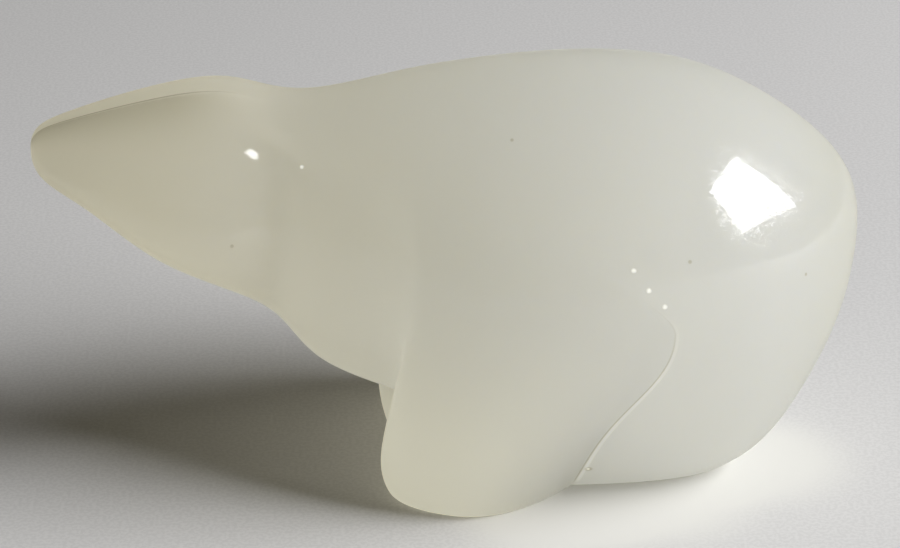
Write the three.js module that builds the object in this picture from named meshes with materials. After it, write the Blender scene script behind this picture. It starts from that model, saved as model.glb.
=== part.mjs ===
// A polar bear figurine in milky glass: one solid, standing on the flat underside of its feet.
//
// The bear is a sphere pulled into shape. One pole becomes the nose and the other the rump. The
// sphere's parallels become the sections of the body, from head to tail, and its meridians run
// along it. Millimetres, +Z up, nose towards -X, origin on the ground under the middle of the bear.

import * as THREE from 'three';
import { mergeVertices } from 'three/addons/utils/BufferGeometryUtils.js';

// Driving size: nose to rump. Everything below is in hundredths of it, unless it says degrees.
const LENGTH = 160;

// A station is an angle from 0 degrees at the nose to 180 at the rump.
// Back line, from the nose over the crown, the neck and the back: [station, forward or back, height]
const NOSE = [0, -50.0, 41.8];
const BACK = [
  [14, -49.3, 44.7], [30, -45.0, 47.0], [48, -35.2, 50.0], [62, -26.5, 51.2], [72, -21.4, 50.1],
  [82, -15.8, 49.4], [96, -4.5, 51.2], [112, 11.9, 52.9], [128, 27.3, 51.6], [144, 39.5, 47.1],
  [160, 48.8, 39.5], [170, 50.9, 33.8],
];
const RUMP = [180, 50.0, 27.1];
// Belly line, back from the rump under the haunches and the forefoot to the chest and the jaw.
// Where it goes below the ground, the foot is cut flat.
const BELLY = [
  [171, 47.3, 18.4], [162, 43.2, 9.4], [150, 37.3, 0.8], [136, 25.2, -4.1], [122, 6.8, -5.6],
  [112, -5.0, -4.1], [104, -9.6, 0.8], [98, -8.7, 6.8], [92, -8.8, 10.4], [83, -15.3, 14.5],
  [74, -19.9, 19.6], [62, -25.8, 24.3], [48, -34.2, 28.4], [30, -42.9, 34.8], [14, -48.4, 38.7],
];

// Half the width of each section at half its height: muzzle, cheeks, neck, shoulders, haunches
const HALF_WIDTH = [
  [14, 3.5], [30, 6.1], [46, 9.2], [56, 10.4], [64, 10.0], [73, 8.7], [82, 11.0], [92, 15.1],
  [98, 17.0], [104, 18.0], [112, 19.4], [122, 21.5], [132, 22.8], [146, 19.8], [162, 12.9], [172, 7.1],
];
// How much wider a section is at its top than in the middle, as a share; negative is wider below
const TOP_HEAVY = [
  [40, -0.45], [64, -0.45], [80, -0.25], [92, -0.15], [104, 0.0], [116, 0.18], [130, 0.27], [155, -0.02],
];

// Foreleg: it stands out from the haunch behind it and ends there in a crease. It stands out by
// the flare at the ground and by nothing at the top of the leg, and fades with this power between.
const LEG_FLARE = 10.6;
const LEG_HEIGHT = 39;
const LEG_FADE = 2.2;
// It begins at one station, is full at the next, and rounds over in these degrees before the crease.
const LEG_START = 93;
const LEG_FULL = 118;
const LEG_ROUNDING = 10.5;
const CREASE_STATION = 127.5;
// The crease bows back to an elbow and runs forward up the shoulder, both in degrees of station.
// Heights in a section go from -1 at the belly to 1 at the back.
const ELBOW_BOW = 5.5;
const ELBOW_HEIGHT = 0.08;
const ELBOW_SPREAD = 0.36;
const SHOULDER_BOW = 18;
const SHOULDER_START = 0.15;
const SHOULDER_RISE = 0.5;
// Stations within about this many degrees of the crease bow with it.
const BOW_REACH = 36;

// Notch between the chest and the forefoot: the belly line steps back round one station, and the
// step dies away up the sides with this power of what is left of the height.
const NOTCH_STATION = 95;
const NOTCH_REACH = 5.3;
const NOTCH_DEPTH = 3.8;
const NOTCH_FADE = 2;

// Front of the forelegs, low in the sections round one station: it steps forward, and a broad cleft
// lies between the two legs
const FRONT_STATION = 106;
const FRONT_REACH = 7;
const FRONT_LOW = 0.5;
const FRONT_FORWARD = 1.5;
const CLEFT_DEPTH = 4.9;
const CLEFT_WIDTH = 12;

// Crown of the head: a narrow strip whose edge runs at this angle above the middle of the sections,
// with a slight hollow under it along the cheek. The hollow is a share of the half width, is deepest
// a band's angle below the edge, and fades out before the end station.
const CROWN_TURN = 67.5;
const CROWN_HOLLOW = 0.07;
const CROWN_BAND = 16;
const CROWN_END = 76;
const CROWN_FADE = 20;

// Hollow on each side of the neck: its depth, the station of its middle and the degrees that it
// reaches along the body, the angle above the middle of the sections and the degrees it spreads
const NECK_DEPTH = 0.96;
const NECK_STATION = 77.5;
const NECK_REACH = 11.7;
const NECK_TURN = 36;
const NECK_SPREAD = 10.3;

// The edge between the sides and the flat underside is rounded over this height
const FOOT_EDGE = 0.6;

// Mesh: degrees from one section to the next along the bear, and from point to point round each
const STEP_ALONG = 2.5;
const STEP_ROUND = 5.625;

const GLASS_COLOUR = 0xcfcfbf;
const GLASS_ROUGHNESS = 0.08;

const FULL_TURN = 360;
const HALF_TURN = 180;
// Rounds of settling for the bends of a spline
const SWEEPS = 60;
// Points of the sphere closer than this many millimetres are joined into one.
const JOIN_WITHIN = 0.001;

/** Eases from 0 to 1 as t goes from 0 to 1. */
const ease = (t) => THREE.MathUtils.smoothstep(t, 0, 1);

/** Bell curve: 1 at the middle and about a third at the reach on either side. */
const hump = (x, middle, reach) => Math.exp(-(((x - middle) / reach) ** 2));

/**
 * Smooth closed curve of one value through points [angle, value] in rising angle, round 360 degrees.
 * Between two points it is a cubic, and its curvature has no step at the points.
 */
function closedSpline(points) {
  const count = points.length;
  const angle = points.map((p) => p[0]);
  const value = points.map((p) => p[1]);
  const next = (i) => (i + 1) % count;
  const last = (i) => (i + count - 1) % count;
  const gap = angle.map((a, i) => (i + 1 < count ? angle[i + 1] - a : angle[0] + FULL_TURN - a));
  const slope = gap.map((g, i) => (value[next(i)] - value[i]) / g);
  const bend = new Array(count).fill(0);
  // Each bend follows from its two neighbours, so repeated sweeps settle on the exact answer.
  for (let sweep = 0; sweep < SWEEPS; sweep++) {
    for (let i = 0; i < count; i++) {
      const pull = 6 * (slope[i] - slope[last(i)]) - gap[last(i)] * bend[last(i)] - gap[i] * bend[next(i)];
      bend[i] = pull / (2 * (gap[last(i)] + gap[i]));
    }
  }
  return (at) => {
    const turned = THREE.MathUtils.euclideanModulo(at - angle[0], FULL_TURN) + angle[0];
    let i = count - 1;
    while (angle[i] > turned) i--;
    const a = (angle[i] + gap[i] - turned) / gap[i];
    const b = 1 - a;
    const cubic = (a ** 3 - a) * bend[i] + (b ** 3 - b) * bend[next(i)];
    return a * value[i] + b * value[next(i)] + (cubic * gap[i] ** 2) / 6;
  };
}

/** Splines for the closed outline of the bear: the back at stations 0 to 180, the belly at 0 to -180. */
function outlineSplines() {
  const loop = [NOSE, ...BACK, RUMP, ...BELLY.map(([s, x, z]) => [FULL_TURN - s, x, z])];
  return {
    along: closedSpline(loop.map(([s, x]) => [s, x])),
    up: closedSpline(loop.map(([s, , z]) => [s, z])),
  };
}

/** Spline of a width: it goes through zero at the nose and the rump, so both ends are round. */
function widthSpline(widths) {
  const mirrored = widths.map(([s, w]) => [FULL_TURN - s, -w]).reverse();
  return closedSpline([[0, 0], ...widths, [HALF_TURN, 0], ...mirrored]);
}

/** Spline of a share, the same on the way back, so that it is level at the nose and the rump. */
function shareSpline(shares) {
  const mirrored = shares.map(([s, w]) => [FULL_TURN - s, w]).reverse();
  return closedSpline([...shares, ...mirrored]);
}

const outline = outlineSplines();
const halfWidth = widthSpline(HALF_WIDTH);
const topHeavy = shareSpline(TOP_HEAVY);

/**
 * How far the crease of the foreleg lies behind its station, in degrees, at a height in the section
 * from -1 at the belly to 1 at the back.
 */
function creaseBow(height) {
  const elbow = ELBOW_BOW * hump(height, ELBOW_HEIGHT, ELBOW_SPREAD);
  const shoulder = SHOULDER_BOW * ease((height - SHOULDER_START) / SHOULDER_RISE);
  return elbow - shoulder;
}

/** How far the foreleg stands out from the haunch, for a line of the grid and a height. */
function legRelief(line, z) {
  const fade = Math.max(0, 1 - z / LEG_HEIGHT) ** LEG_FADE;
  const inside = THREE.MathUtils.clamp((CREASE_STATION - line) / LEG_ROUNDING, 0, 1);
  const front = ease((line - LEG_START) / (LEG_FULL - LEG_START));
  return LEG_FLARE * fade * (1 - (1 - inside) ** 2) * front;
}

/** Share of the half width taken off in the hollow under the edge of the crown. */
function crownHollow(station, turn) {
  const below = Math.max(0, (CROWN_TURN - turn) / CROWN_BAND);
  const fade = ease((CROWN_END - station) / CROWN_FADE);
  return CROWN_HOLLOW * fade * below * Math.exp(1 - below);
}

/** Depth of the hollow on the side of the neck, for a line of the grid and an angle above the middle. */
const neckHollow = (line, turn) =>
  NECK_DEPTH * hump(line, NECK_STATION, NECK_REACH) * hump(turn, NECK_TURN, NECK_SPREAD);

/** How far the front of a foreleg lies back, at a place y to the side and a height in the section. */
function frontCleft(line, height, y) {
  const front = hump(line, FRONT_STATION, FRONT_REACH) * ease(-height / FRONT_LOW);
  return (CLEFT_DEPTH * hump(y, 0, CLEFT_WIDTH) - FRONT_FORWARD) * front;
}

/** Height with the underside cut flat at the ground and its edge rounded. */
function cutFlat(z) {
  if (z > FOOT_EDGE) return z;
  return z < -FOOT_EDGE ? 0 : (z + FOOT_EDGE) ** 2 / (4 * FOOT_EDGE);
}

/**
 * Point of the skin for a line of the grid from 0 to 180 and an angle round the section, in degrees.
 * Away from the crease a line of the grid is a station.
 */
function skinPoint(line, round) {
  const height = Math.sin(THREE.MathUtils.degToRad(round));
  const breadth = Math.cos(THREE.MathUtils.degToRad(round));
  const open = Math.abs(breadth);
  const turn = THREE.MathUtils.radToDeg(Math.asin(THREE.MathUtils.clamp(height, -1, 1)));
  // The grid lines near the crease bend with it, so that one of them lies along it.
  const near = hump(line, CREASE_STATION, BOW_REACH);
  const level = Math.sqrt(Math.max(0, Math.sin(THREE.MathUtils.degToRad(line))));
  const station = line + creaseBow(height) * near * level;
  const backShare = (1 + height) / 2;
  const x = THREE.MathUtils.lerp(outline.along(-station), outline.along(station), backShare);
  const z = THREE.MathUtils.lerp(outline.up(-station), outline.up(station), backShare);
  const notch = NOTCH_DEPTH * hump(line, NOTCH_STATION, NOTCH_REACH) * (1 - backShare) ** NOTCH_FADE;
  const body = halfWidth(station) * open * (1 + topHeavy(station) * height);
  const hollow = halfWidth(station) * crownHollow(station, turn) + neckHollow(line, turn);
  const y = body - hollow + legRelief(line, z) * Math.sqrt(open);
  const back = x + notch + frontCleft(line, height, y);
  const point = new THREE.Vector3(back, -y * Math.sign(breadth), cutFlat(z));
  return point.multiplyScalar(LENGTH / 100);
}

/** The whole skin as one closed mesh, brought to LENGTH and centred over the origin. */
function bearGeometry() {
  const pointsRound = Math.round(FULL_TURN / STEP_ROUND);
  // Whole numbers of rows before and behind the crease put one row of points exactly on it.
  const rowsAhead = Math.round(CREASE_STATION / STEP_ALONG);
  const rowsBehind = Math.round((HALF_TURN - CREASE_STATION) / STEP_ALONG);
  const sphere = new THREE.SphereGeometry(1, pointsRound, rowsAhead + rowsBehind);
  const place = sphere.attributes.position;
  // The sphere's points come in rows, one for each section, with the first point again at the end.
  const rowLength = pointsRound + 1;
  for (let i = 0; i < place.count; i++) {
    const row = Math.floor(i / rowLength);
    const behind = Math.max(0, row - rowsAhead) / rowsBehind;
    const ahead = Math.min(row, rowsAhead) / rowsAhead;
    const line = CREASE_STATION * ahead + (HALF_TURN - CREASE_STATION) * behind;
    const round = ((i % rowLength) % pointsRound) * (FULL_TURN / pointsRound) - FULL_TURN / 4;
    const point = skinPoint(line, round);
    place.setXYZ(i, point.x, point.y, point.z);
  }
  sphere.deleteAttribute('uv');
  sphere.deleteAttribute('normal');
  const skin = mergeVertices(sphere, JOIN_WITHIN);
  skin.computeBoundingBox();
  const { min, max } = skin.boundingBox;
  const toLength = LENGTH / (max.x - min.x);
  skin.translate(-(min.x + max.x) / 2, 0, 0);
  skin.scale(toLength, toLength, toLength);
  skin.computeVertexNormals();
  return skin;
}

const milkyGlass = new THREE.MeshStandardMaterial({
  name: 'milky glass',
  color: GLASS_COLOUR,
  roughness: GLASS_ROUGHNESS,
  metalness: 0,
});

const bear = new THREE.Mesh(bearGeometry(), milkyGlass);
bear.name = 'polar_bear';

const model = new THREE.Group();
model.add(bear);

export default model;
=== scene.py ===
# %% [markdown]
# # A polar bear in milky glass
#
# The bear is one solid piece of opal glass: press-moulded or cast hot, then ground flat underneath
# and fire-polished all over. It has a smooth skin with only two drawn lines, the edge of the crown
# and the crease behind the foreleg, so nearly everything that the eye enjoys comes from the glass:
# a soft inner glow, a warm tint where light has gone through, and sharp mirror images on top.
#
# This lesson builds it in that order: the frame and the camera, the skin as one formula, the glass
# as one material, and then the light that makes the glass look like glass.

# %% Load the frame
import math

import bpy
import numpy as np
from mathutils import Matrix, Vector


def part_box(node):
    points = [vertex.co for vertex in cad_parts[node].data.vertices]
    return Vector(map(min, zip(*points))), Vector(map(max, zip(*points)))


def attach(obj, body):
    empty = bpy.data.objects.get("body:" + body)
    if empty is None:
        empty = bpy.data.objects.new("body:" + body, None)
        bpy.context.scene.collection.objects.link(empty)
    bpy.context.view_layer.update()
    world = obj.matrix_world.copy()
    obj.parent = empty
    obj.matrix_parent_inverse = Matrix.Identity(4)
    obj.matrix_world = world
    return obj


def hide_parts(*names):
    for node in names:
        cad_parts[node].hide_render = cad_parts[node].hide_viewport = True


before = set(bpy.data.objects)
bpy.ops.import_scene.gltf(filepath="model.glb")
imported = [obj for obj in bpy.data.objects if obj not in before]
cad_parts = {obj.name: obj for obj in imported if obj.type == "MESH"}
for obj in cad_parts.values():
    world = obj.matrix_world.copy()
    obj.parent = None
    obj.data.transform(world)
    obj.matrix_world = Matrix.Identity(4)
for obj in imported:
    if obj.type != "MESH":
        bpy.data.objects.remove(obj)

scene = bpy.context.scene
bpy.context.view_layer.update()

# %% [markdown]
# ## The camera
#
# The bear is seen from its left side, a little from in front of the middle and from well above, as
# one looks down on a thing on a table. A long lens from about four times the bear's length away
# keeps the proportions natural. The camera is placed by its direction from the bear, so one number
# can be changed without spoiling the others.

# %% Camera
CAMERA_AZIMUTH = math.radians(-2.0)
CAMERA_ELEVATION = math.radians(25.0)
CAMERA_DISTANCE = 0.610
CAMERA_LENS_MM = 124.0
AIM = Vector((0.0006, 0.0, 0.0390))


def direction(azimuth, elevation):
    """Unit vector that points out at an azimuth round Z, 0 towards -Y, and a height above level."""
    level = math.cos(elevation)
    return Vector((math.sin(azimuth) * level, -math.cos(azimuth) * level, math.sin(elevation)))


def look_at(name, data, place, target, spin=0.0):
    """Puts an object so that its -Z axis points at the target, turned about that axis by spin."""
    thing = bpy.data.objects.new(name, data)
    scene.collection.objects.link(thing)
    thing.location = place
    thing.rotation_euler = (Vector(target) - Vector(place)).to_track_quat("-Z", "Y").to_euler()
    thing.rotation_euler.rotate_axis("Z", spin)
    return thing


camera_data = bpy.data.cameras.new("camera")
camera_data.lens = CAMERA_LENS_MM
camera_data.clip_start = 0.01
camera_place = AIM + direction(CAMERA_AZIMUTH, CAMERA_ELEVATION) * CAMERA_DISTANCE
camera = look_at("camera", camera_data, camera_place, AIM)
scene.camera = camera
print("camera at", [round(c, 3) for c in camera.location])

# %% [markdown]
# ## Smooth lines through a few points
#
# A modeller in clay thinks of a few lines: the back, the belly, the widest places. Each is a short
# list of points, and a periodic cubic spline runs through them. It goes round a full circle and
# comes back to its start with no step in slope or in curvature. Mirror images in polished glass
# show a step in curvature as a kink, so this matters more here than on a matt thing.

# %% Splines
FULL_TURN = 360.0
HALF_TURN = 180.0
QUARTER_TURN = 90.0


def closed_spline(points):
    """Smooth closed curve of one value over an angle that goes round 360 degrees.

    Between two points it is a cubic. The bends at the points solve one linear system, in which each
    bend is tied to its two neighbours so that the slope has no step.
    """
    angle, value = np.array(points, float).T
    gap = np.diff(np.append(angle, angle[0] + FULL_TURN))
    before = np.roll(gap, 1)
    slope = (np.roll(value, -1) - value) / gap
    count = len(angle)
    ties = np.diag(2 * (before + gap))
    rows = np.arange(count)
    ties[rows, rows - 1] += before
    ties[rows, (rows + 1) % count] += gap
    bend = np.linalg.solve(ties, 6 * (slope - np.roll(slope, 1)))

    def at(asked):
        turned = (asked - angle[0]) % FULL_TURN + angle[0]
        i = np.clip(np.searchsorted(angle, turned, side="right") - 1, 0, count - 1)
        j = (i + 1) % count
        a = (angle[i] + gap[i] - turned) / gap[i]
        b = 1 - a
        cubic = (a**3 - a) * bend[i] + (b**3 - b) * bend[j]
        return a * value[i] + b * value[j] + cubic * gap[i] ** 2 / 6

    return at


def ease(t):
    """Goes from 0 to 1 as t does, level at both ends: 3 t squared less 2 t cubed."""
    t = np.clip(t, 0.0, 1.0)
    return t * t * (3 - 2 * t)


def hump(x, middle, reach):
    """Bell curve, 1 at the middle and about a third at the reach."""
    return np.exp(-(((x - middle) / reach) ** 2))


print("a closed spline through a square gives", closed_spline([[0, 1], [90, 0], [180, -1], [270, 0]])(45.0))

# %% [markdown]
# ## The bear's lines
#
# A station is an angle from 0 degrees at the nose to 180 at the rump, like the latitude on a globe
# that lies on its side. The back line and the belly line say where each station starts and ends,
# and a table of half widths says how far it reaches to the sides. All lengths are in hundredths of
# the bear's length. They are the same figures as in the solid, because both show the same bear.

# %% Lines of the body
NOSE = [0, -50.0, 41.8]
BACK = [
    [14, -49.3, 44.7], [30, -45.0, 47.0], [48, -35.2, 50.0], [62, -26.5, 51.2], [72, -21.4, 50.1],
    [82, -15.8, 49.4], [96, -4.5, 51.2], [112, 11.9, 52.9], [128, 27.3, 51.6], [144, 39.5, 47.1],
    [160, 48.8, 39.5], [170, 50.9, 33.8],
]
RUMP = [180, 50.0, 27.1]
BELLY = [
    [171, 47.3, 18.4], [162, 43.2, 9.4], [150, 37.3, 0.8], [136, 25.2, -4.1], [122, 6.8, -5.6],
    [112, -5.0, -4.1], [104, -9.6, 0.8], [98, -8.7, 6.8], [92, -8.8, 10.4], [83, -15.3, 14.5],
    [74, -19.9, 19.6], [62, -25.8, 24.3], [48, -34.2, 28.4], [30, -42.9, 34.8], [14, -48.4, 38.7],
]
HALF_WIDTH = [
    [14, 3.5], [30, 6.1], [46, 9.2], [56, 10.4], [64, 10.0], [73, 8.7], [82, 11.0], [92, 15.1],
    [98, 17.0], [104, 18.0], [112, 19.4], [122, 21.5], [132, 22.8], [146, 19.8], [162, 12.9], [172, 7.1],
]
TOP_HEAVY = [
    [40, -0.45], [64, -0.45], [80, -0.25], [92, -0.15], [104, 0.0], [116, 0.18], [130, 0.27], [155, -0.02],
]

loop = [NOSE, *BACK, RUMP, *[[FULL_TURN - s, x, z] for s, x, z in BELLY]]
outline_along = closed_spline([[s, x] for s, x, z in loop])
outline_up = closed_spline([[s, z] for s, x, z in loop])
half_width = closed_spline(
    [[0, 0], *HALF_WIDTH, [HALF_TURN, 0], *[[FULL_TURN - s, -w] for s, w in reversed(HALF_WIDTH)]]
)
top_heavy = closed_spline([*TOP_HEAVY, *[[FULL_TURN - s, w] for s, w in reversed(TOP_HEAVY)]])
shown = half_width(np.array([56.0, 73.0, 132.0])).round(1)
print("half width at the cheeks, the neck and the haunches:", shown)

# %% [markdown]
# ## The two drawn lines and the forefeet
#
# The foreleg is a low relief. It stands out from the haunch behind it, most at the foot, rounds
# over and ends in a crease that climbs to an elbow and fades up the shoulder. The trick is to bend
# the grid so that one of its lines lies along the crease: then the edge stays crisp with no extra
# points. The crown is a narrow strip whose edge is only the start of a shallow hollow below it.
# Between the forelegs lies a broad cleft, and the underside is cut flat with a rounded edge.

# %% Sizes of the foreleg and its crease
# Lengths in hundredths of the bear's length, stations in degrees, heights from -1 below to 1 on top
LEG_FLARE = 10.6
LEG_HEIGHT = 39
LEG_FADE = 2.2
LEG_START = 93
LEG_FULL = 118
LEG_ROUNDING = 10.5
CREASE_STATION = 127.5
ELBOW_BOW = 5.5
ELBOW_HEIGHT = 0.08
ELBOW_SPREAD = 0.36
SHOULDER_BOW = 18
SHOULDER_START = 0.15
SHOULDER_RISE = 0.5
BOW_REACH = 36
print("the crease lies on grid line", CREASE_STATION, "and bows", ELBOW_BOW, "degrees back at its elbow")

# %% Sizes of the notch, the cleft, the crown, the neck and the foot
# In the same units, but CROWN_HOLLOW is a share of the half width and NOTCH_FADE a power
NOTCH_STATION = 95
NOTCH_REACH = 5.3
NOTCH_DEPTH = 3.8
NOTCH_FADE = 2

FRONT_STATION = 106
FRONT_REACH = 7
FRONT_LOW = 0.5
FRONT_FORWARD = 1.5
CLEFT_DEPTH = 4.9
CLEFT_WIDTH = 12

CROWN_TURN = 67.5
CROWN_HOLLOW = 0.07
CROWN_BAND = 16
CROWN_END = 76
CROWN_FADE = 20

NECK_DEPTH = 0.96
NECK_STATION = 77.5
NECK_REACH = 11.7
NECK_TURN = 36
NECK_SPREAD = 10.3

FOOT_EDGE = 0.6
print("cleft between the forelegs:", CLEFT_DEPTH, "deep and", 2 * CLEFT_WIDTH, "across")


# %% Reliefs and hollows
def crease_bow(height):
    """How far back the crease lies: a hump at the elbow, less an eased run forward up the shoulder."""
    elbow = ELBOW_BOW * hump(height, ELBOW_HEIGHT, ELBOW_SPREAD)
    return elbow - SHOULDER_BOW * ease((height - SHOULDER_START) / SHOULDER_RISE)


def leg_relief(line, z):
    """How far the foreleg stands out: its flare, times a power of the height left, rounded at the crease."""
    fade = np.clip(1 - z / LEG_HEIGHT, 0, None) ** LEG_FADE
    inside = np.clip((CREASE_STATION - line) / LEG_ROUNDING, 0, 1)
    return LEG_FLARE * fade * (1 - (1 - inside) ** 2) * ease((line - LEG_START) / (LEG_FULL - LEG_START))


def crown_hollow(station, turn):
    """Share of the half width taken off under the crown's edge: it rises at once and dies away."""
    below = np.clip((CROWN_TURN - turn) / CROWN_BAND, 0, None)
    return CROWN_HOLLOW * ease((CROWN_END - station) / CROWN_FADE) * below * np.exp(1 - below)


def neck_hollow(line, turn):
    """Depth of the hollow on each side of the neck: a bell curve along the body times one round it."""
    return NECK_DEPTH * hump(line, NECK_STATION, NECK_REACH) * hump(turn, NECK_TURN, NECK_SPREAD)


def front_cleft(line, height, y):
    """How far the forelegs' front lies back: a broad cleft between them, less how far they step out."""
    front = hump(line, FRONT_STATION, FRONT_REACH) * ease(-height / FRONT_LOW)
    return (CLEFT_DEPTH * hump(y, 0, CLEFT_WIDTH) - FRONT_FORWARD) * front


def cut_flat(z):
    """Height, with all below the ground brought to it and the edge rounded by a parabola."""
    rounded = (z + FOOT_EDGE) ** 2 / (4 * FOOT_EDGE)
    return np.where(z > FOOT_EDGE, z, np.where(z < -FOOT_EDGE, 0, rounded))


print("the foreleg stands out by", round(float(leg_relief(118.0, 0.0)), 2), "at the ground")


# %% The skin as one function
def skin(line, turn_round):
    """Points of the skin for a grid line from 0 to 180 and an angle round the section, in degrees.

    The section is an ellipse between the belly point and the back point of its station, wider at
    the top or below by its share, less the hollows of crown and neck, plus the foreleg's relief.
    The belly steps back in a notch between the chest and the forefoot, and the step dies away up
    the sides.
    """
    height = np.sin(np.radians(turn_round))
    breadth = np.cos(np.radians(turn_round))
    open_share = np.abs(breadth)
    turn = np.degrees(np.arcsin(np.clip(height, -1, 1)))
    off_the_poles = np.sqrt(np.clip(np.sin(np.radians(line)), 0, None))
    near_crease = hump(line, CREASE_STATION, BOW_REACH) * off_the_poles
    station = line + crease_bow(height) * near_crease
    back_share = (1 + height) / 2
    x = outline_along(-station) * (1 - back_share) + outline_along(station) * back_share
    z = outline_up(-station) * (1 - back_share) + outline_up(station) * back_share
    width = half_width(station)
    body = width * open_share * (1 + top_heavy(station) * height)
    hollow = width * crown_hollow(station, turn) + neck_hollow(line, turn)
    y = body - hollow + leg_relief(line, z) * np.sqrt(open_share)
    notch = NOTCH_DEPTH * hump(line, NOTCH_STATION, NOTCH_REACH) * (1 - back_share) ** NOTCH_FADE
    back = x + notch + front_cleft(line, height, y)
    return np.stack([back, -y * np.sign(breadth), cut_flat(z)], -1)


nose_tip, rump_end = skin(np.array([0.0, 180.0]), np.array([0.0, 0.0]))
print("nose at", nose_tip.round(2), "and rump at", rump_end.round(2))

# %% [markdown]
# ## From the formula to a mesh
#
# The skin is a grid of lines along the bear and points round it. At the nose and at the rump a
# whole row of the grid falls on one point, so each of these rows becomes a single vertex with a fan
# of triangles. Round the body the last column joins the first by taking the remainder. The grid
# steps are chosen so that the crease and the crown's edge fall exactly on grid lines.

# %% Grid to mesh
LINES = 288
POINTS_ROUND = 320


def closed_mesh(name, rings, first_pole, last_pole):
    """Mesh of a closed skin: rings of points, with one point at each end closing the fans."""
    ring_count, around = rings.shape[:2]
    points = np.concatenate([[first_pole], rings.reshape(-1, 3), [last_pole]])
    index = 1 + np.arange(ring_count * around).reshape(ring_count, around)
    ahead = np.roll(index, -1, axis=1)
    quads = np.stack([index[:-1], index[1:], ahead[1:], ahead[:-1]], -1).reshape(-1, 4)
    end = len(points) - 1
    first_fan = np.stack([np.zeros(around, int), index[0], ahead[0]], -1)
    last_fan = np.stack([np.full(around, end), ahead[-1], index[-1]], -1)
    mesh = bpy.data.meshes.new(name)
    mesh.from_pydata(points.tolist(), [], quads.tolist() + first_fan.tolist() + last_fan.tolist())
    mesh.polygons.foreach_set("use_smooth", np.ones(len(mesh.polygons), bool))
    mesh.update()
    return mesh


def add_piece(name, mesh):
    """Object at the origin for a mesh whose place is in its points."""
    piece = bpy.data.objects.new(name, mesh)
    scene.collection.objects.link(piece)
    return piece


lines = np.linspace(0, HALF_TURN, LINES + 1)
turns = np.arange(POINTS_ROUND) / POINTS_ROUND * FULL_TURN - QUARTER_TURN
line_grid, turn_grid = np.meshgrid(lines, turns, indexing="ij")
shares = skin(line_grid, turn_grid)
print("grid of", shares.shape[:2], "points, reaching", np.ptp(shares.reshape(-1, 3), axis=0).round(2))

# %% [markdown]
# ## Into the solid's place
#
# The formula works in shares, and the solid says how long and how wide the bear is in metres. So
# the grid is laid over the solid's own box: the same scale on all sides, the middle of the length
# at the origin and the underside on the ground.

# %% The bear's skin
bear_low, bear_high = (np.array(corner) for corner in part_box("polar_bear"))
lowest, highest = shares.reshape(-1, 3).min(0), shares.reshape(-1, 3).max(0)
metres_per_share = (bear_high[0] - bear_low[0]) / (highest[0] - lowest[0])
middle = np.array([(lowest[0] + highest[0]) / 2, 0.0, 0.0])
ground = np.array([(bear_high[0] + bear_low[0]) / 2, 0.0, bear_low[2]])
skin_points = (shares - middle) * metres_per_share + ground

bear_mesh = closed_mesh("glass_bear", skin_points[1:-1], skin_points[0, 0], skin_points[-1, 0])
bear = add_piece("glass_bear", bear_mesh)
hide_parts("polar_bear")
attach(bear, "root")
sides_mm = (np.array(bear.dimensions) * 1000).round(1)
print("skin of", len(bear_mesh.polygons), "faces, sides in mm:", sides_mm)

# %% [markdown]
# ## Shader maths in plain Python
#
# A material is a graph of small nodes, and a formula of five signs would be twenty lines of node
# code. One small class wraps a socket and gives it plus, minus and times, so a formula reads as it
# would on paper. Its method "node" makes any node from its type, its settings and its inputs.

# %% A socket that can be calculated with
class Value:
    """A shader socket with plus, minus and times."""

    def __init__(self, tree, socket):
        self.tree = tree
        self.socket = socket

    @staticmethod
    def node(tree, kind, settings=None, output=0, **inputs):
        """Adds a node of one type: settings first, then each input as a number or a link.

        An input goes by its Blender name, with _ for a space, or by its number, as in i0.
        """
        made = tree.nodes.new("ShaderNode" + kind)
        for name, setting in (settings or {}).items():
            setattr(made, name, setting)
        for name, given in inputs.items():
            key = int(name[1:]) if name[0] == "i" and name[1:].isdigit() else name.replace("_", " ")
            if isinstance(given, Value):
                tree.links.new(given.socket, made.inputs[key])
            else:
                made.inputs[key].default_value = given
        return Value(tree, made.outputs[output])

    def maths(self, operation, first, second):
        """One Math node on two values, each a number or a link."""
        return Value.node(self.tree, "Math", {"operation": operation}, i0=first, i1=second)

    def __add__(self, other):
        return self.maths("ADD", self, other)

    def __radd__(self, other):
        return self.maths("ADD", other, self)

    def __sub__(self, other):
        return self.maths("SUBTRACT", self, other)

    def __rsub__(self, other):
        return self.maths("SUBTRACT", other, self)

    def __mul__(self, other):
        return self.maths("MULTIPLY", self, other)

    def __rmul__(self, other):
        return self.maths("MULTIPLY", other, self)

    def eased(self, low, high):
        """0 below low, 1 above high and smooth between."""
        smooth = {"interpolation_type": "SMOOTHSTEP"}
        return Value.node(self.tree, "MapRange", smooth, Value=self, From_Min=low, From_Max=high)


print("signs that make nodes:", [name for name in vars(Value) if name.strip("_") in ("add", "sub", "mul")])


# %% Empty material and colours
def new_material(name):
    """Node material with only a shader, linked to its output: returns material, tree and shader."""
    material = bpy.data.materials.new(name)
    material.use_nodes = True
    tree = material.node_tree
    tree.nodes.clear()
    shader = tree.nodes.new("ShaderNodeBsdfPrincipled")
    output = tree.nodes.new("ShaderNodeOutputMaterial")
    tree.links.new(shader.outputs["BSDF"], output.inputs["Surface"])
    return material, tree, shader


def from_srgb(red, green, blue):
    """Colour as a picture shows it, 0 to 255, turned into the linear light that shaders count in."""
    shown = np.array([red, green, blue]) / 255
    linear = np.where(shown > 0.04045, ((shown + 0.055) / 1.055) ** 2.4, shown / 12.92)
    return (*linear.tolist(), 1.0)


print("mid grey in linear light is", round(from_srgb(128, 128, 128)[0], 3))

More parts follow.
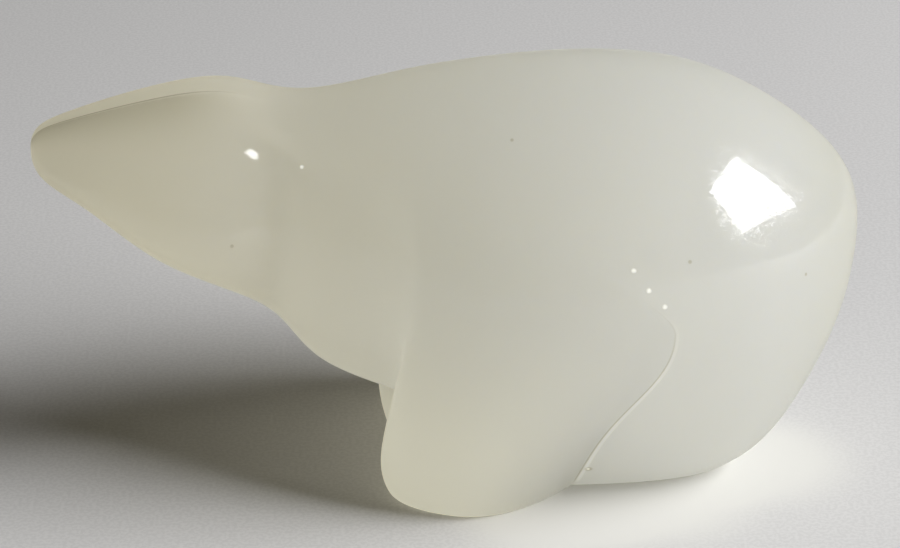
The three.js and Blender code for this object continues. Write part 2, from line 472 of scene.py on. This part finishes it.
# %% [markdown]
# ## Where the light and the colour change over the skin
#
# Some light and shade is painted along the drawn lines: a painted dark line at the crown's edge with
# a band of painted shade below it, a thin painted dark line in the crease behind the foreleg, and a
# painted glow on the thin glass near the lower edges. The grid knows where each point lies, so broad
# shares are worked out once as arrays and kept on the mesh as attributes. A line finer than the grid
# would come out ragged that way. For those the mesh keeps the two angles themselves, and the shader
# works out the line.

# %% Shares kept on the mesh
# In degrees along the bear or round it, but FORELEG_TOP and FORELEG_RISE are heights, in hundredths
CROWN_LINE_END = 70.0
CROWN_SHADE_FADE = 3
HOLLOW_REACH = 26.0
RIM_TURN = -62.0
RIM_SPREAD = 20.0
RIM_START = 30.0
RIM_END = 112.0
RIM_FADE_IN = 20
RIM_FADE_OUT = 12
FORELEG_START = 90.0
FORELEG_TOP = 30.0
FORELEG_FADE = 12
FORELEG_RISE = 24


def keep_share(mesh, name, grid):
    """Puts one number for each grid point on the mesh's points, with a single one for each pole."""
    values = np.concatenate([[grid[0, 0]], grid[1:-1].ravel(), [grid[-1, 0]]])
    layer = mesh.attributes.new(name, "FLOAT", "POINT")
    layer.data.foreach_set("value", np.clip(values, 0, 1).astype(np.float32))
    print(name, "reaches", round(float(values.max()), 2), "on", int((values > 0.5).sum()), "points")


side_turn = np.degrees(np.arcsin(np.clip(np.sin(np.radians(turn_grid)), -1, 1)))
# The band below the crown's edge is painted shade.
below_crown = ease((CROWN_TURN - side_turn) / CROWN_SHADE_FADE)
on_head = ease((CROWN_LINE_END - line_grid) / CROWN_FADE)
crown_shade = below_crown * hump(side_turn, CROWN_TURN, HOLLOW_REACH) * on_head
# The thin glass near the lower edges gets a painted glow.
painted_rim_glow = hump(side_turn, RIM_TURN, RIM_SPREAD) * ease((line_grid - RIM_START) / RIM_FADE_IN)
painted_rim_glow = painted_rim_glow * ease((RIM_END - line_grid) / RIM_FADE_OUT)
# The forelegs get the painted glow of led light.
foreleg = ease((line_grid - FORELEG_START) / FORELEG_FADE)
foreleg = foreleg * ease((CREASE_STATION - line_grid) / FORELEG_FADE)
foreleg = foreleg * ease((FORELEG_TOP - shares[..., 2]) / FORELEG_RISE)
for name, grid in {
    "along_line": line_grid / HALF_TURN,
    "round_turn": (side_turn + QUARTER_TURN) / HALF_TURN,
    "crown_shade": crown_shade,
    "painted_rim_glow": painted_rim_glow,
    "foreleg": foreleg,
}.items():
    keep_share(bear_mesh, name, grid)


# %% Shares and mixtures in a material
def share_on(tree, name):
    """A share kept on the mesh, as a number between 0 and 1."""
    return Value.node(tree, "Attribute", {"attribute_name": name}, output="Fac")


def mixed(tree, factor, first, second):
    """Colour that goes from the first to the second as the factor goes from 0 to 1."""
    return Value.node(tree, "Mix", {"data_type": "RGBA"}, output=2, Factor=factor, i6=first, i7=second)


def mixed_shader(tree, factor, first, second):
    """Shader that goes from the first to the second as the factor goes from 0 to 1."""
    return Value.node(tree, "MixShader", i0=factor, i1=first, i2=second)


def distance(tree, place, middle):
    """Distance of each point of the surface from a fixed one, in metres."""
    return Value.node(tree, "VectorMath", {"operation": "DISTANCE"}, output="Value", i0=place, i1=middle)


print("attributes for the shader:", [a.name for a in bear_mesh.attributes if a.data_type == "FLOAT"])

# %% [markdown]
# ## Marks in the glass and on it
#
# Handmade glass is never quite clean. There are a few dark and light specks and one bubble, each a
# small round spot at a place of its own, and hair-fine scratches round the haunch where the surface
# was wiped. Three of the light spots, at the crease's elbow, are painted glints, and the light spot
# in the bubble is its painted bright centre. The scratches are noise pulled long in one direction,
# and they only tilt the surface a little, so they show at the edge of the mirror image and nowhere
# else.

# %% Specks and a bubble, in millimetres, each with its radius
MILLIMETRE = 0.001
SPOT_CORE = 0.4
DARK_SPECKS = [
    (-41.3, -17.4, 53.6, 0.50), (43.6, -35.7, 57.4, 0.50), (66.8, -25.8, 49.9, 0.45),
    (11.5, -18.9, 75.2, 0.45), (20.0, 34.0, 50.0, 0.50), (55.0, 26.0, 62.0, 0.45),
]
# Three of these, at the crease's elbow, are painted glints, and the one in the bubble is its painted bright
# centre.
LIGHT_SPECKS_AND_GLINTS = [
    (-27.9, -10.4, 66.7, 0.50), (33.3, -35.6, 55.7, 0.55), (36.1, -36.7, 52.1, 0.55),
    (39.1, -37.2, 49.0, 0.55), (26.8, -22.1, 6.9, 0.45), (30.0, 33.0, 40.0, 0.50),
]
BUBBLE = [(26.8, -22.1, 6.9, 1.1)]


def spots(tree, place, marks):
    """Sum of round soft spots: each is 1 in its core, eases off, and is 0 from its radius on."""
    total = 0.0
    for x, y, z, radius in marks:
        away = distance(tree, place, (x * MILLIMETRE, y * MILLIMETRE, z * MILLIMETRE))
        total = total + (1 - away.eased(radius * MILLIMETRE * SPOT_CORE, radius * MILLIMETRE))
    return total


print(len(DARK_SPECKS), "dark specks,", len(LIGHT_SPECKS_AND_GLINTS), "light ones and", len(BUBBLE), "bubble")

# %% Scratches
SCRATCH_MIDDLE = (0.0555, -0.0262, 0.0690)
SCRATCH_REACH = 0.019
SCRATCH_TURN = (0.0, math.radians(52), math.radians(24))
SCRATCH_STRETCH = (130.0, 2200.0, 2200.0)
SCRATCH_HEIGHT = 0.000018
SCRATCH_STEP = (0.50, 0.72)
SCRATCH_ELSEWHERE = 0.08


def scratches(tree, place):
    """Height of hair-fine scratches: noise pulled long in one direction, mostly round the haunch."""
    turned = Value.node(tree, "Mapping", Vector=place, Rotation=SCRATCH_TURN, Scale=SCRATCH_STRETCH)
    hairs = Value.node(tree, "TexNoise", Vector=turned, Scale=1.0, Detail=3.0, Roughness=0.7)
    ring = 1 - distance(tree, place, SCRATCH_MIDDLE).eased(SCRATCH_REACH * 0.5, SCRATCH_REACH)
    return hairs.eased(*SCRATCH_STEP) * (ring * (1 - SCRATCH_ELSEWHERE) + SCRATCH_ELSEWHERE)


print("scratches up to", SCRATCH_HEIGHT / MILLIMETRE, "mm deep")

# %% [markdown]
# ## The painted lines in the shader
#
# A line is thinnest where a value is exactly at its middle, so the squared distance from there is
# eased from 1 to 0. The crown's line and the crease are painted darker than the glass, as painted
# shade where little light comes out of a corner. Just behind the crease a painted glint stands for
# the thin line of light that the foreleg throws back.

# %% Crown line and crease line, in degrees
CROWN_LINE = 1.1
CREASE_LINE = 0.14
# Where and how wide the painted glint behind the crease runs, in degrees
GLINT_BEHIND = 0.34
GLINT_LINE = 0.238
# Heights in metres between which the crease's line comes in at the foot and fades out on top
CREASE_FOOT = (0.0006, 0.004)
CREASE_TOP = (0.030, 0.052)


def fine_line(value, middle, half_width):
    """1 where a value is at the middle, 0 from the half width on: eases the distance squared."""
    away = value - middle
    return 1 - (away * away).eased(0.0, half_width * half_width)


def painted_lines(tree, height):
    """Painted shade as dark lines at the crown's edge and in the crease, and a painted glint behind it."""
    line = share_on(tree, "along_line") * HALF_TURN
    turn = share_on(tree, "round_turn") * HALF_TURN - QUARTER_TURN
    on_crown = 1 - line.eased(CROWN_LINE_END - CROWN_FADE, CROWN_LINE_END)
    on_leg = height.eased(*CREASE_FOOT) * (1 - height.eased(*CREASE_TOP))
    crown = fine_line(turn, CROWN_TURN, CROWN_LINE) * on_crown
    crease = fine_line(line, CREASE_STATION, CREASE_LINE) * on_leg
    glint = fine_line(line, CREASE_STATION + GLINT_BEHIND, GLINT_LINE) * on_leg
    return crown, crease, glint


print("the crown's line is", 2 * CROWN_LINE, "degrees wide and the crease's", 2 * CREASE_LINE)

# %% [markdown]
# ## Specks, painted shade and painted glow
#
# The specks and the bubble, the painted shade, the painted glints and the painted glow come together
# in three shares, each with its weight: how much darker the glass is, how much lighter, and how much
# it shines.

# %% Darker, lighter, shining
CROWN_SHADE_WEIGHT = 0.50
CROWN_LINE_WEIGHT = 0.75
CREASE_WEIGHT = 0.5
SPECK_WEIGHT = 0.5
BUBBLE_WEIGHT = 0.6
# The rump's lit end is painted darker, as painted shade.
RUMP_WEIGHT = 0.30
RUMP_SHADE = (0.058, 0.080)
GLINT_WEIGHT = 0.8
GLINT_SHINE = 0.25
RIM_WEIGHT = 0.3


def marks_and_painted_light(tree, place, along, height):
    """Three weighted sums of specks, painted shade and painted glow: darker, lighter and shining."""
    crown, crease, glint = painted_lines(tree, height)
    bright = spots(tree, place, LIGHT_SPECKS_AND_GLINTS)
    marks = spots(tree, place, DARK_SPECKS) * SPECK_WEIGHT + spots(tree, place, BUBBLE) * BUBBLE_WEIGHT
    darker = share_on(tree, "crown_shade") * CROWN_SHADE_WEIGHT + crown * CROWN_LINE_WEIGHT
    darker = darker + crease * CREASE_WEIGHT + along.eased(*RUMP_SHADE) * RUMP_WEIGHT + marks
    lighter = glint * GLINT_WEIGHT + share_on(tree, "painted_rim_glow") * RIM_WEIGHT + bright
    return darker, lighter, bright + glint * GLINT_SHINE


print("the rump grows darker between", RUMP_SHADE, "m along the bear")

# %% [markdown]
# ## Opal glass
#
# Opal glass is clear glass filled with droplets too small to see. Light that has got in is thrown
# about and held in by the polished surface, so it leaves again far from where it entered: the side
# in shadow is nearly as bright as the lit one, and even the shadow on the table glows. Walking every
# ray through the volume would take hours, so the glass is made of three simple shares. One scatters
# just under the surface, with red going deeper than blue. One lets light through to the inside, as
# a lampshade does. And the inner side of the skin throws back about half of what reaches it. The
# droplets take out a little blue each time, so the head, far from the lamp, comes out olive. That
# olive is painted: a tint that goes by place from warm at the head to cool at the rump.
#
# Light is also led through the glass to its far ends, the head and the forelegs, which no lamp
# reaches. That needs the whole volume too, so it is painted as a faint glow of their own, with a
# painted glint on the light specks and behind the crease.
#
# Only the first share has a mirror surface, so its index is set above the real 1.5, until the whole
# reflects as much as polished glass does.

# %% Colours and shares of the glass
# Shares from 0 to 1, SCATTER_REACH in metres, and the colours of light let through as linear light
THROUGH_SHARE = 0.80
INNER_LEAK = 0.45
MIRROR_INDEX = 2.62
SCATTER_REACH = 0.10
SCATTER_BY_COLOUR = (1.0, 0.90, 0.72)
SURFACE_ROUGHNESS = 0.035
# The body and head tints, and the cool and warm light let through below, are a painted tint for light's long
# way through the glass.
COOL_BODY = from_srgb(252, 254, 250)
WARM_HEAD = from_srgb(242, 235, 208)
# The darker tint here and the darker light let through below are painted shade at the crown, the crease and
# the rump, and also the real dark specks and bubble.
SHADE_AND_SPECK_TINT = from_srgb(176, 170, 140)
# The lighter tint is a painted glint behind the crease, a painted glow on the lower rim, and the light
# specks.
GLOW_GLINT_AND_SPECK_TINT = from_srgb(255, 253, 240)
COOL_THROUGH = (0.985, 0.99, 0.955, 1.0)
WARM_THROUGH = (0.975, 0.945, 0.82, 1.0)
SHADE_AND_SPECK_THROUGH = (0.62, 0.585, 0.44, 1.0)
INNER_WHITE = (0.99, 0.985, 0.94, 1.0)
# Metres along the bear between which the painted tint goes from warm to cool, swayed by soft clouds
WARM_TO_COOL = (-0.085, 0.062)
CLOUD_SCALE = 22.0
CLOUD_SWAY = 0.02
print("the glass lets", THROUGH_SHARE, "of the light through its skin")

# %% Painted glow of light led to the far ends
NO_LIGHT = (0.0, 0.0, 0.0, 1.0)
LED_LIGHT = (0.098, 0.090, 0.068, 1.0)
LED_FORELEG = (0.165, 0.155, 0.110, 1.0)
LED_GLINT = (0.42, 0.42, 0.38, 1.0)
LED_STRENGTH = 5.0
LED_TO_NONE = (-0.075, 0.045)


def led_light(tree, along, darker, shine):
    """Colour of the painted glow of light led through the glass: in the head, the forelegs and bright marks.
    """
    led = mixed(tree, 1 - along.eased(*LED_TO_NONE), NO_LIGHT, LED_LIGHT)
    led = mixed(tree, share_on(tree, "foreleg"), led, LED_FORELEG)
    led = mixed(tree, darker, led, NO_LIGHT)
    return mixed(tree, shine, led, LED_GLINT)


print("led light fades out between", LED_TO_NONE, "m along the bear")


# %% The outer share: polished and scattering
def polished_share(tree, shader, place, tint, led):
    """Sets the main shader: tinted scattering under a polished skin with scratches, and painted glow."""
    tree.links.new(tint.socket, shader.inputs["Base Color"])
    tree.links.new(led.socket, shader.inputs["Emission Color"])
    shader.inputs["Emission Strength"].default_value = LED_STRENGTH
    shader.subsurface_method = "RANDOM_WALK"
    shader.inputs["Subsurface Weight"].default_value = 1.0
    shader.inputs["Subsurface Radius"].default_value = SCATTER_BY_COLOUR
    shader.inputs["Subsurface Scale"].default_value = SCATTER_REACH
    shader.inputs["Roughness"].default_value = SURFACE_ROUGHNESS
    shader.inputs["IOR"].default_value = MIRROR_INDEX
    bump = Value.node(tree, "Bump", Strength=1.0, Distance=SCRATCH_HEIGHT, Height=scratches(tree, place))
    tree.links.new(bump.socket, shader.inputs["Normal"])
    return Value(tree, shader.outputs["BSDF"])


def light_through(tree, painted_warmth, darker):
    """The share that lets light in and out, as a lampshade does: a painted tint, cool, warm or dark by
    place.
    """
    cool = Value.node(tree, "BsdfTranslucent", Color=COOL_THROUGH)
    warm = Value.node(tree, "BsdfTranslucent", Color=WARM_THROUGH)
    dark = Value.node(tree, "BsdfTranslucent", Color=SHADE_AND_SPECK_THROUGH)
    return mixed_shader(tree, darker, mixed_shader(tree, painted_warmth, cool, warm), dark)


print("a mirror index of", MIRROR_INDEX, "on", round(1 - THROUGH_SHARE, 2), "of the surface")


# %% The glass
def opal_glass():
    """Milky glass: a scattering, polished outer share, a share that lets light in, and an inner side."""
    material, tree, shader = new_material("opal_glass")
    place = Value.node(tree, "TexCoord", output="Object")
    along = Value.node(tree, "SeparateXYZ", output="X", Vector=place)
    height = Value.node(tree, "SeparateXYZ", output="Z", Vector=place)
    clouds = Value.node(tree, "TexNoise", Vector=place, Scale=CLOUD_SCALE, Detail=2.0)
    painted_warmth = 1 - (along + CLOUD_SWAY * (clouds - 0.5)).eased(*WARM_TO_COOL)
    darker, lighter, shine = marks_and_painted_light(tree, place, along, height)
    tint = mixed(tree, painted_warmth, COOL_BODY, WARM_HEAD)
    tint = mixed(tree, darker, tint, SHADE_AND_SPECK_TINT)
    tint = mixed(tree, lighter, tint, GLOW_GLINT_AND_SPECK_TINT)
    polished = polished_share(tree, shader, place, tint, led_light(tree, along, darker, shine))
    through = light_through(tree, painted_warmth, darker)
    outer = mixed_shader(tree, THROUGH_SHARE, polished, through)
    white = Value.node(tree, "BsdfDiffuse", Color=INNER_WHITE)
    inner = mixed_shader(tree, INNER_LEAK, white, through)
    seen_from_inside = Value.node(tree, "NewGeometry", output="Backfacing")
    whole = mixed_shader(tree, seen_from_inside, outer, inner)
    tree.links.new(whole.socket, tree.nodes["Material Output"].inputs["Surface"])
    return material


bear_mesh.materials.append(opal_glass())
print("glass on", bear.name, "with a reach of", SCATTER_REACH * 1000, "mm")

# %% [markdown]
# ## The table
#
# The bear stands on a plain pale board. It is far larger than the picture, so no edge shows. The
# glass gathers some light on the board beside its feet, and a slightly paler patch stands for that.

# %% Floor
FLOOR_RADIUS = 6.0
FLOOR_SIDES = 96
FLOOR_COLOUR = from_srgb(204, 203, 202)
FLOOR_SHADE = from_srgb(197, 196, 195)
FLOOR_GRAIN = 1300.0
GRAIN_STEP = (0.4, 0.6)
FLOOR_ROUGHNESS = 0.9
FLOOR_GLOSS = 0.1
FLOOR_GLOW = from_srgb(212, 211, 207)
# In millimetres, each with its radius
GLOW_PLACES = [(20, -29, 0, 24), (40, -21, 0, 26), (62, -7, 0, 24)]


def pale_board():
    """Matt board with a fine grain, and paler spots where the glass throws light on it."""
    material, tree, shader = new_material("pale_board")
    place = Value.node(tree, "TexCoord", output="Object")
    mottle = Value.node(tree, "TexNoise", Vector=place, Scale=FLOOR_GRAIN, Detail=2.0)
    paper = mixed(tree, mottle.eased(*GRAIN_STEP), FLOOR_COLOUR, FLOOR_SHADE)
    paper = mixed(tree, spots(tree, place, GLOW_PLACES), paper, FLOOR_GLOW)
    tree.links.new(paper.socket, shader.inputs["Base Color"])
    shader.inputs["Roughness"].default_value = FLOOR_ROUGHNESS
    shader.inputs["Specular IOR Level"].default_value = FLOOR_GLOSS
    return material


def round_floor():
    """Flat disc at the ground: one face whose corners lie on a circle."""
    angle = np.arange(FLOOR_SIDES) / FLOOR_SIDES * 2 * np.pi
    rim = np.stack([np.cos(angle), np.sin(angle), np.zeros(FLOOR_SIDES)], -1) * FLOOR_RADIUS
    mesh = bpy.data.meshes.new("floor")
    mesh.from_pydata((rim + [0, 0, bear_low[2]]).tolist(), [], [list(range(FLOOR_SIDES))])
    mesh.materials.append(pale_board())
    return add_piece("floor", mesh)


floor = round_floor()
print("floor", FLOOR_RADIUS * 2, "m across")

# %% [markdown]
# ## One softbox and a card
#
# A single square softbox stands to the right and a little in front, rather low. Its mirror image is
# the bright tilted square on the haunch and the small glint in the hollow of the neck. It is far
# enough away to light the table evenly, and large enough to give the long shadow a soft edge. A
# white card low on the left returns a little light to the head, and is kept out of the mirror
# images. The room adds a faint warm light.

# %% Lights
KEY_AZIMUTH = math.radians(77.6)
KEY_ELEVATION = math.radians(32.0)
KEY_DISTANCE = 1.7
KEY_SIDE = 1.02
KEY_SPIN = math.radians(-3)
KEY_WATTS = 54.0
KEY_COLOUR = (0.98, 0.985, 1.0)
CARD_AZIMUTH = math.radians(-52)
CARD_ELEVATION = math.radians(9)
CARD_DISTANCE = 1.2
CARD_SIDE = 0.7
CARD_WATTS = 1.4
CARD_COLOUR = (1.0, 0.95, 0.82)
ROOM_COLOUR = (1.0, 0.86, 0.54, 1.0)
ROOM_STRENGTH = 0.028


def softbox(name, place, side, watts, colour, spin):
    """Square area light that faces the bear."""
    data = bpy.data.lights.new(name, "AREA")
    data.shape = "SQUARE"
    data.size = side
    data.energy = watts
    data.color = colour
    return look_at(name, data, place, AIM, spin)


key_place = AIM + direction(KEY_AZIMUTH, KEY_ELEVATION) * KEY_DISTANCE
softbox("softbox", key_place, KEY_SIDE, KEY_WATTS, KEY_COLOUR, KEY_SPIN)
card_place = AIM + direction(CARD_AZIMUTH, CARD_ELEVATION) * CARD_DISTANCE
card = softbox("white_card", card_place, CARD_SIDE, CARD_WATTS, CARD_COLOUR, 0.0)
card.visible_glossy = False

world = bpy.data.worlds.new("room")
world.use_nodes = True
room = world.node_tree.nodes["Background"]
room.inputs["Color"].default_value = ROOM_COLOUR
room.inputs["Strength"].default_value = ROOM_STRENGTH
scene.world = world
scene.view_settings.view_transform = "Standard"
print("softbox of", KEY_WATTS, "W")

# %% [markdown]
